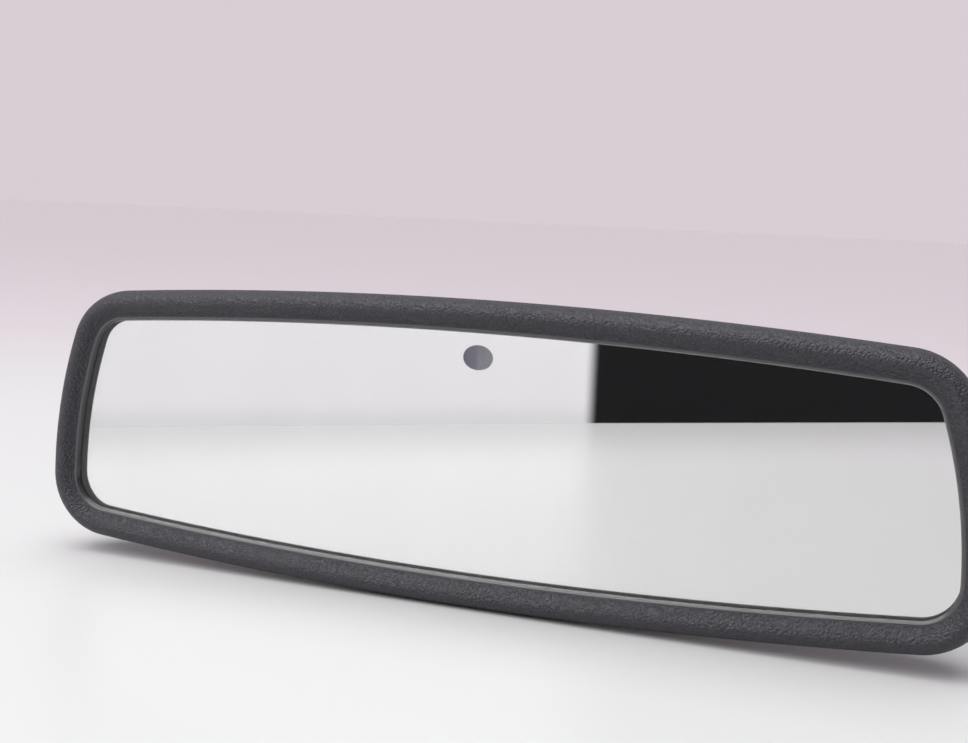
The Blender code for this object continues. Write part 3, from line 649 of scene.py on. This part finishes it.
HOUSING_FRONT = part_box("rear_housing")[0].y
DOME_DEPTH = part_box("rear_housing")[1].y - HOUSING_FRONT - RIM_LENGTH + DOME_CROWN
RIM = outline(RIM_OFFSET)
RIM_ANGLES = np.unwrap(np.arctan2(RIM[:, 1], RIM[:, 0]))
RIM_RADII = np.hypot(RIM[:, 0], RIM[:, 1])
HALF_WIDTH, HALF_HEIGHT = RIM[:, 0].max(), RIM[:, 1].max()


def dome_level(points):
    """How far out points lie on the dome: 1 at the rim and 0 in the middle."""
    angles = np.arctan2(points[:, 1], points[:, 0])
    order = np.argsort(RIM_ANGLES % TURN)
    to_rim = np.interp(angles % TURN, (RIM_ANGLES % TURN)[order], RIM_RADII[order], period=TURN)
    to_oval = 1 / np.hypot(np.cos(angles) / HALF_WIDTH, np.sin(angles) / HALF_HEIGHT)
    reach = np.hypot(points[:, 0], points[:, 1])
    low, high = np.zeros(len(points)), np.ones(len(points))
    for _ in range(40):
        middle = (low + high) / 2
        beyond = middle * (to_oval + (to_rim - to_oval) * middle**2) > reach
        low, high = np.where(beyond, low, middle), np.where(beyond, middle, high)
    return (low + high) / 2


def dome_ring(points, drop=0.0):
    """(x, z) points laid on the dome, sunk towards the glass by drop."""
    rise = np.sqrt(np.clip(1 - dome_level(points) ** DOME_EXPONENT, 0, 1))
    return ring_at(points, HOUSING_FRONT - GLASS_Y + RIM_LENGTH + DOME_DEPTH * rise - drop)


def level_outline(level):
    """The dome's outline at a level, between its rim and an oval."""
    rim_oval = RIM / np.hypot(RIM[:, 0] / HALF_WIDTH, RIM[:, 1] / HALF_HEIGHT)[:, None]
    return (rim_oval + (RIM - rim_oval) * level**2) * level


def outer_rings():
    """The shell's outer skin, from the rim to the rounded lip of the arm's opening."""
    rim_depth = HOUSING_FRONT - GLASS_Y
    outer = [ring_at(outline(RIM_OFFSET - RIM_EDGE), rim_depth), ring_at(RIM, rim_depth + RIM_EDGE)]
    for turn in np.linspace(0, 1, 40)[:-1]:
        level = 1 - (1 - BLEND_LEVEL) * turn**1.6
        outer.append(dome_ring(level_outline(level) * 0.99999))
    start = level_outline(BLEND_LEVEL)
    angles = np.arctan2(start[:, 1], start[:, 0])
    circle = np.column_stack([np.cos(angles), np.sin(angles)])
    for t in np.linspace(0, 1, 22):
        ease = t * (2 - t)
        outer.append(dome_ring(start + (circle * (STEM_HOLE + STEM_HOLE_LIP) - start) * ease))
    edge = outer[-1][:, 1].mean() - GLASS_Y
    for turn in np.linspace(0.2, 1, LIP_STEPS):
        angle = turn * math.pi / 2
        radius = STEM_HOLE + STEM_HOLE_LIP * (1 - math.sin(angle))
        outer.append(ring_at(circle * radius, edge - STEM_HOLE_LIP * (1 - math.cos(angle))))
    return outer, circle, edge


def make_shell():
    """The outer skin, and the inner skin back to the rim, one wall inside it."""
    outer, circle, edge = outer_rings()
    count = len(outer) - LIP_STEPS
    inner = []
    for ring in outer[1:count]:
        flat = np.column_stack([ring[:, 0] - HEAD.x, ring[:, 2] - HEAD.z])
        shrink = 1 - WALL / np.maximum(np.hypot(flat[:, 0], flat[:, 1]), 3 * WALL)[:, None]
        points = flat * shrink
        depth = ring[:, 1] - GLASS_Y
        fall = np.minimum(WALL, depth - (HOUSING_FRONT - GLASS_Y))
        inner.append(ring_at(points, depth - fall))
    first = ring_at(outline(RIM_OFFSET - WALL), HOUSING_FRONT - GLASS_Y)
    back = ring_at(circle * STEM_HOLE, edge - WALL - 0.4 * MM)
    return skin("housing", [*outer, back, *reversed(inner), first], joined=True)


def opening_cutter(points, flare):
    """A tool for an opening in the dome, with a rounded mouth, from (x, z) points."""
    middle = points.mean(0)
    outward = points - middle
    outward = outward / np.linalg.norm(outward, axis=1)[:, None]
    rings = [ring_at(points, 20 * MM)]
    for turn in np.linspace(0, 1, 6):
        angle = turn * math.pi / 2
        spread = points + outward * flare * (1 - math.cos(angle))
        rings.append(dome_ring(spread, flare * (1 - math.sin(angle))))
    rings.append(dome_ring(points + outward * flare * 1.6, -3 * MM))
    return skin("tool", rings, caps=(0, -1))


def across_head(node):
    """The middle of a node from the head's ball, and its half width and half height."""
    low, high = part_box(node)
    centre = ((low.x + high.x) / 2 - HEAD.x, (low.z + high.z) / 2 - HEAD.z)
    return centre, (high.x - low.x) / 2, (high.z - low.z) / 2


def make_rear():
    """The housing's shell, with its openings for the arm, the plug and the rear lens."""
    centre, half_width, half_height = across_head("connector_shroud")
    plug = rounded_rectangle(half_width + PLUG_PLAY, half_height + PLUG_PLAY, 1.2 * MM) + centre
    data = boolean(make_shell(), opening_cutter(plug, 0.6 * MM))
    window = oval(REAR_LENS_HOLE, REAR_LENS_HOLE, across_head("ambient_lens")[0], 64)
    data = boolean(data, opening_cutter(window, 0.5 * MM))
    show("back_shell", data, "head", "textured_plastic", ["rear_housing"])


# ---------------------------------------------------------------- joint, arm and foot


def make_arm():
    """One casting: foot ball, waisted barrel and spigot, with a faint mould seam along both sides."""
    length = FOOT_BALL.y - HEAD.y
    neck = math.asin(NECK / BALL)
    ball = arc(BALL, math.pi, neck, 40)
    waist = [
        (NECK, math.sqrt(BALL**2 - NECK**2) + 0.9 * MM),
        (NECK, 11.5 * MM),
        (3.9 * MM, 14 * MM),
        (5.3 * MM, 17.5 * MM),
        (6.2 * MM, 21 * MM),
        (BARREL, 25 * MM),
    ]
    mirrored = [(radius, length - height) for radius, height in reversed(waist)]
    body = smooth(waist + [(BARREL + 0.15 * MM, length / 2)] + mirrored[:-1], 8)
    shoulder, tip = length + SPIGOT_START, length + SPIGOT_END
    spigot = rounded_profile([(NECK, shoulder), (SPIGOT, shoulder), (SPIGOT, tip), (0, tip)], 0.5 * MM)
    data = lathe("arm", [*ball, *body, *spigot], 120)
    for vert in data.vertices:
        on_the_barrel = SEAM_CLEAR < vert.co.z < length - SEAM_CLEAR
        if on_the_barrel and abs(vert.co.y) < SEAM_WIDTH:
            rise = SEAM_HEIGHT * math.cos(vert.co.y / SEAM_WIDTH * math.pi / 2) ** 2
            vert.co.x += math.copysign(rise, vert.co.x)
    place = Matrix.Translation(FOOT_BALL) @ TO_DRIVER
    show("arm_casting", moved(data, place), "arm", "satin_black_paint", ["arm"])


def make_liner(name, node, body, lay):
    """A nylon zone of a sphere around a ball, open at both ends, with a chamfered mouth."""
    lip = 0.3 * MM
    outer = arc(LINER_OUTER, LINER_OPENING + 0.03, math.pi - LINER_OPENING, 40)
    inner = arc(LINER_INNER, math.pi - LINER_OPENING, LINER_OPENING + 0.03, 40)
    mouth = arc(LINER_INNER + lip, LINER_OPENING, LINER_OPENING, 1)
    rim = arc(LINER_OUTER - lip, LINER_OPENING, LINER_OPENING, 1)
    data = lathe(name, [*outer, *inner, *mouth, *rim], 96, closed=True)
    show(name, moved(data, lay), body, "nylon", [node])


def make_head_ball():
    """The steel ball, with a blind bore for the arm's spigot."""
    bore = math.asin(SPIGOT_BORE / BALL)
    profile = [(0, SPIGOT_BORE_END), (SPIGOT_BORE, SPIGOT_BORE_END), *arc(BALL, bore, math.pi, 48)]
    data = moved(lathe("ball", profile, 96), Matrix.Translation(HEAD) @ TO_WINDSCREEN)
    show("pivot_ball", data, "head_ball", "polished_steel", ["head_ball"])


def make_pivot_socket():
    """The cast socket cup with its screw flange."""
    mouth = arc(SOCKET_INNER, math.pi / 2, SOCKET_OPENING, 16)
    corners = [mouth[-1], (SOCKET_OUTER, mouth[-1][1]), (SOCKET_OUTER, -SOCKET_FLOOR)]
    profile = [*mouth, *rounded_profile(corners, 0.8 * MM)[1:], (SOCKET_INNER, -SOCKET_FLOOR)]
    cup = lathe("cup", profile, 96, closed=True)
    low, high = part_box("pivot_plate")
    low, high = low - HEAD, high - HEAD
    flange = rounded_box((low.x, FLANGE_FRONT, low.z), (high.x, FLANGE_BACK, high.z), 0.4 * MM)
    radius, end = SOCKET_OUTER - 1 * MM, 9 * MM
    bore = lathe("bore", [(0, end), (radius, end), (radius, -end), (0, -end)], 96)
    flange = boolean(flange, moved(bore, TO_WINDSCREEN))
    data = boolean(moved(cup, TO_WINDSCREEN), flange, "UNION")
    data = moved(data, Matrix.Translation(HEAD))
    show("pivot_socket", data, "head", "die_cast_zinc", ["pivot_plate"])


MOUNT_AXIS = Vector(frame["record"]["mounts"][0]["axis"])
SLOPE = math.atan2(MOUNT_AXIS.y, MOUNT_AXIS.z)
FOOT = Matrix.Rotation(-SLOPE, 4, "X")
FOOT_SOCKET = Matrix.Translation(FOOT_BALL) @ TO_DRIVER


def dovetail(far, top, play, bevel):
    """A bar that widens away from the windscreen and down it, in the foot's own frame."""
    near, bottom = -BUTTON_LENGTH / 2 - play, -BUTTON_THICKNESS - play
    flare = (BUTTON_BACK - BUTTON_FACE) / 2 / BUTTON_THICKNESS
    mesh = bmesh.new()
    bmesh.ops.create_cube(mesh, size=1)
    for vert in mesh.verts:
        y, z = (far if vert.co.y > 0 else near), (top if vert.co.z > 0 else bottom)
        half = BUTTON_FACE / 2 - z * flare + y / BUTTON_LENGTH * BUTTON_TAPER + play
        vert.co = (math.copysign(half, vert.co.x), y, z)
    return bevelled(mesh, bevel, 3)


def make_foot():
    """The bonded button and the painted bracket that slides over it."""
    button = dovetail(BUTTON_LENGTH / 2, 0, 0, 0.35 * MM)
    show("glued_button", moved(button, FOOT), "foot", "bare_steel", ["windscreen_button"])
    base = rounded_box(BASE_LOW, BASE_HIGH, 2.2 * MM, 6)
    ball = Vector((0, 0, -FOOT_BALL.length))
    along_arm = Matrix.Translation(ball) @ Matrix.Rotation(math.pi / 2 + SLOPE, 4, "X")
    back = -SOCKET_FLOOR - CUP_FLOOR
    corners = [(0, CUP_FRONT), (CUP_RADIUS, CUP_FRONT), (CUP_RADIUS, back), (0, back)]
    cup = lathe("cup", rounded_profile(corners, 2 * MM), 96)
    data = boolean(base, moved(cup, along_arm), "UNION")
    data = boolean(data, rounded_box(WEB_LOW, WEB_HIGH, 1.5 * MM), "UNION")
    bore = [(0, 3 * MM), (SOCKET_INNER, 3 * MM), (SOCKET_INNER, -SOCKET_FLOOR), (0, -SOCKET_FLOOR)]
    data = boolean(data, moved(lathe("bore", bore, 96), along_arm))
    data = boolean(data, dovetail(BASE_HIGH[1] + 4 * MM, 2 * MM, CHANNEL_PLAY, 0))
    hole = [(0, 0), (SET_SCREW_HOLE, 0), (SET_SCREW_HOLE, SET_SCREW_END), (0, SET_SCREW_END)]
    hole = moved(lathe("hole", hole, 48), Matrix.Translation((0, SET_SCREW_PLACE, 0)))
    data = boolean(data, hole)
    data = moved(soften(data, 0.35 * MM), FOOT)
    show("wedge_bracket", data, "foot", "satin_black_paint", ["foot_bracket"])
    make_retainer(along_arm)


def make_retainer(along_arm):
    """The threaded ring that holds the liner in, with two notches for a pin spanner."""
    mouth = arc(SOCKET_INNER, math.pi / 2, SOCKET_OPENING, 20)
    top = mouth[-1][1]
    edge = rounded_profile([mouth[-1], (CUP_RADIUS, top), (CUP_RADIUS, 0)], 1.2 * MM, 8)
    ring = lathe("ring", [*mouth, *edge[1:]], 120, closed=True)
    for side in (-1, 1):
        middle, half = side * (CUP_RADIUS - NOTCH_INSET), NOTCH_HALF
        low, high = (middle - half, -half, top - half), (middle + half, half, top + 2 * half)
        ring = boolean(ring, rounded_box(low, high, 0.3 * MM))
    ring = moved(ring, FOOT @ along_arm)
    show("retaining_ring", ring, "foot", "satin_black_paint", ["foot_retainer"])


# ---------------------------------------------------------------- plug socket and rear lens


def make_plug_socket():
    """The header's shroud, with a rounded mouth, and its pins."""
    centre, half_width, half_height = across_head("connector_shroud")
    back, mouth = (corner.y - GLASS_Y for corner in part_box("connector_shroud"))
    section = [
        (0, back, 1.0 * MM),
        (0, mouth - 0.3 * MM, 1.0 * MM),
        (0.3 * MM, mouth, 0.8 * MM),
        (PLUG_WALL - 0.35 * MM, mouth, 0.6 * MM),
        (PLUG_WALL, mouth - 0.5 * MM, 0.4 * MM),
        (PLUG_WALL, back + PLUG_FLOOR, 0.4 * MM),
    ]
    rings = []
    for inset, depth, radius in section:
        points = rounded_rectangle(half_width - inset, half_height - inset, radius)
        rings.append(ring_at(points + centre, depth))
    data = skin("shroud", rings, caps=(0, -1))
    show("plug_shroud", data, "head", "black_plastic", ["connector_shroud"])
    for i in range(1, 7):
        low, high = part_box(f"connector_pin_{i}")
        data = rounded_box(low, high, 0.22 * MM, 3)
        show(f"socket_pin_{i}", data, "head", "brass", [f"connector_pin_{i}"])


def make_rear_lens():
    """The domed lens in the shell, over the sensor that looks forwards."""
    low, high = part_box("ambient_lens")
    radius, length = (high.x - low.x) / 2, high.y - low.y
    curvature, edge = 1.5, 0.98
    dome = arc(radius * curvature, 0, math.asin(1 / curvature) * edge, 16)
    dome[:, 1] += length - dome[0, 1]
    profile = [*dome, (radius, dome[-1, 1] - 0.15 * MM), (radius, 0), (0, 0)]
    place = Matrix.Translation(((low.x + high.x) / 2, low.y, (low.z + high.z) / 2))
    data = moved(lathe("rear_lens", profile, 64), place @ TO_WINDSCREEN)
    show("rear_light_lens", data, "head", "tinted_lens", ["ambient_lens"])


# ---------------------------------------------------------------- carried-over CAD nodes


def dress_cad_nodes():
    """Gives every node the look of its slot. The nodes that pieces stand for don't show."""
    slots = {part["node"]: part["material_slot"] for part in frame["record"]["subparts"]}
    for name, node in frame["nodes"].items():
        node.data.materials.clear()
        node.data.materials.append(LOOKS[slots[name]])


# ---------------------------------------------------------------- studio and camera


def stage_look(name, roughness, gloss):
    look = Look(name, (0.8, 0.8, 0.8), roughness, Specular_IOR_Level=gloss)
    look.bump(look.noise(1.2 * MM), 0.01 * MM, 0.4)
    return look


def graded(look, source, low, high, shade_low, shade_high):
    """A colour that goes from one shade to another as the source goes from low to high."""
    links = {"Value": source, "From Min": low, "From Max": high}
    step = look.node("ShaderNodeMapRange", links, interpolation_type="SMOOTHSTEP").outputs["Result"]
    mix = look.node("ShaderNodeMix", data_type="RGBA")
    look.tree.links.new(step, mix.inputs[0])
    for socket, shade in ((6, shade_low), (7, shade_high)):
        if isinstance(shade, tuple):
            mix.inputs[socket].default_value = (*shade, 1)
        else:
            look.tree.links.new(shade, mix.inputs[socket])
    return mix.outputs[2]


def board_material():
    """A board that is white up to a soft edge and black beyond it, with painted shade along its foot; it glows
    with painted light.
    """
    look = stage_look("board", 0.7, 0.0)
    parts = look.node("ShaderNodeSeparateXYZ", {"Vector": look.place}).outputs
    # Painted shade: the white turns greyer towards the board's foot, for the shadow where board and floor meet.
    white = graded(look, parts["Z"], FLOOR_Z, FLOOR_Z + 12 * MM, (0.8, 0.8, 0.81), (0.9, 0.9, 0.91))
    low, high = BOARD_EDGE[0] - 4 * MM, BOARD_EDGE[0] + 2 * MM
    colour = graded(look, parts["X"], low, high, white, (0.016, 0.016, 0.017))
    look.tree.links.new(colour, look.shader.inputs["Base Color"])
    # Painted light: the board glows in its own colour, so its white part shows as a brightly lit wall in
    # reflections.
    look.tree.links.new(colour, look.shader.inputs["Emission Color"])
    look.shader.inputs["Emission Strength"].default_value = 0.38
    return look.material


def floor_material():
    """Pale paper, slightly glossy, with painted shade in a band along the boards, and warmer far from the mirror.
    """
    look = stage_look("floor_paper", 0.38, 0.5)
    away = look.node("ShaderNodeVectorMath", {0: look.place}, operation="LENGTH").outputs["Value"]
    links = {0: look.place, 1: TOWARDS_BOARDS}
    along = look.node("ShaderNodeVectorMath", links, operation="DOT_PRODUCT").outputs["Value"]
    paper = graded(look, away, 0.3, 0.8, (0.70, 0.70, 0.70), (0.70, 0.63, 0.67))
    # Painted shade: a greyer band on the paper along the foot of the boards.
    painted_board_shade = graded(look, along, 0.25, 0.365, paper, (0.53, 0.53, 0.53))
    colour = graded(look, along, 0.4, 1.0, painted_board_shade, paper)
    look.tree.links.new(colour, look.shader.inputs["Base Color"])
    return look.material


def stage_piece(name, corners, material):
    data = bpy.data.meshes.new(name)
    data.from_pydata(corners, [], [(0, 1, 2, 3)])
    data.materials.append(material)
    made = bpy.data.objects.new(name, data)
    bpy.context.scene.collection.objects.link(made)
    return made


def make_stage():
    """A pale floor, and boards in front of the mirror that are seen only as reflections."""
    around = ((-1, -1), (1, -1), (1, 1), (-1, 1))
    corners = [(x * FLOOR_REACH, y * FLOOR_REACH, FLOOR_Z) for x, y in around]
    stage_piece("floor", corners, floor_material())
    low = Vector((0, 0, FLOOR_Z))
    runs = [
        ("white_board", BOARD_EDGE, WHITE_END, 0.16),
        ("black_board", BOARD_EDGE, BLACK_END, 0.4),
        ("side_board", BLACK_END, SIDE_END, 0.4),
    ]
    for name, start, end, height in runs:
        start, end = Vector(start), Vector(end)
        high = low + Vector((0, 0, height))
        corners = [start + low, end + low, end + high, start + high]
        board = stage_piece(name, corners, board_material())
        board.visible_camera = board.visible_shadow = board.visible_diffuse = False


def make_lights():
    """A room that is bright near the horizon, a ceiling light and a weaker window."""
    world = bpy.data.worlds.new("soft_room")
    world.use_nodes = True
    nodes, links = world.node_tree.nodes, world.node_tree.links
    place = nodes.new("ShaderNodeTexCoord")
    height = nodes.new("ShaderNodeSeparateXYZ")
    ramp = nodes.new("ShaderNodeValToRGB")
    links.new(place.outputs["Generated"], height.inputs[0])
    links.new(height.outputs["Z"], ramp.inputs["Fac"])
    links.new(ramp.outputs["Color"], nodes["Background"].inputs["Color"])
    low, high = ramp.color_ramp.elements
    low.position, high.position = 0.2, 0.5
    low.color, high.color = (0.69, 0.615, 0.66, 1), (0.25, 0.25, 0.26, 1)
    bpy.context.scene.world = world
    ceiling = bpy.data.lights.new("ceiling", "SUN")
    ceiling.energy = 2.15
    ceiling.angle = math.radians(60)
    aim_light(ceiling, (0, 0, 1), (0.05, 0.0, 0))
    softbox = bpy.data.lights.new("softbox", "AREA")
    softbox.shape = "RECTANGLE"
    softbox.size, softbox.size_y = 1.3, 0.8
    softbox.energy = 9.5
    aim_light(softbox, (-0.5, -0.8, 0.85), (0.05, -0.1, 0))


def aim_light(data, place, aim):
    made = bpy.data.objects.new(data.name, data)
    made.location = place
    made.rotation_mode = "QUATERNION"
    made.rotation_quaternion = (Vector(aim) - Vector(place)).to_track_quat("-Z", "Y")
    made.visible_camera = False
    bpy.context.scene.collection.objects.link(made)


def make_camera():
    """Right of the middle, a little above, looking left and down with a slight roll."""
    place = Vector((HEAD.x + 0.1379, GLASS_Y - 0.3387, HEAD.z + 0.0649))
    yaw, pitch, roll = (math.radians(angle) for angle in (-21.75, 6.77, 2.31))
    flat = math.cos(pitch)
    forward = Vector((math.sin(yaw) * flat, math.cos(yaw) * flat, -math.sin(pitch)))
    level = Vector((math.cos(yaw), -math.sin(yaw), 0))
    rise = level.cross(forward)
    right = math.cos(roll) * level + math.sin(roll) * rise
    up = right.cross(forward)
    data = bpy.data.cameras.new("camera")
    data.lens = 53.9
    data.clip_start, data.clip_end = 0.01, 50
    made = bpy.data.objects.new("camera", data)
    turn = Matrix((right, up, -forward)).transposed().to_4x4()
    made.matrix_world = Matrix.Translation(place) @ turn
    bpy.context.scene.collection.objects.link(made)
    bpy.context.scene.camera = made


# ---------------------------------------------------------------- assembly

dress_cad_nodes()
make_bezel()
make_glass()
make_sensor_lens()
make_rear()
make_arm()
make_liner("head_ball_liner", "head_liner", "head_liner", Matrix.Translation(HEAD) @ TO_WINDSCREEN)
make_liner("foot_ball_liner", "foot_liner", "foot_liner", FOOT_SOCKET)
make_head_ball()
make_pivot_socket()
make_foot()
make_plug_socket()
make_rear_lens()
make_stage()
make_lights()
make_camera()
bpy.context.scene.view_settings.view_transform = "Standard"
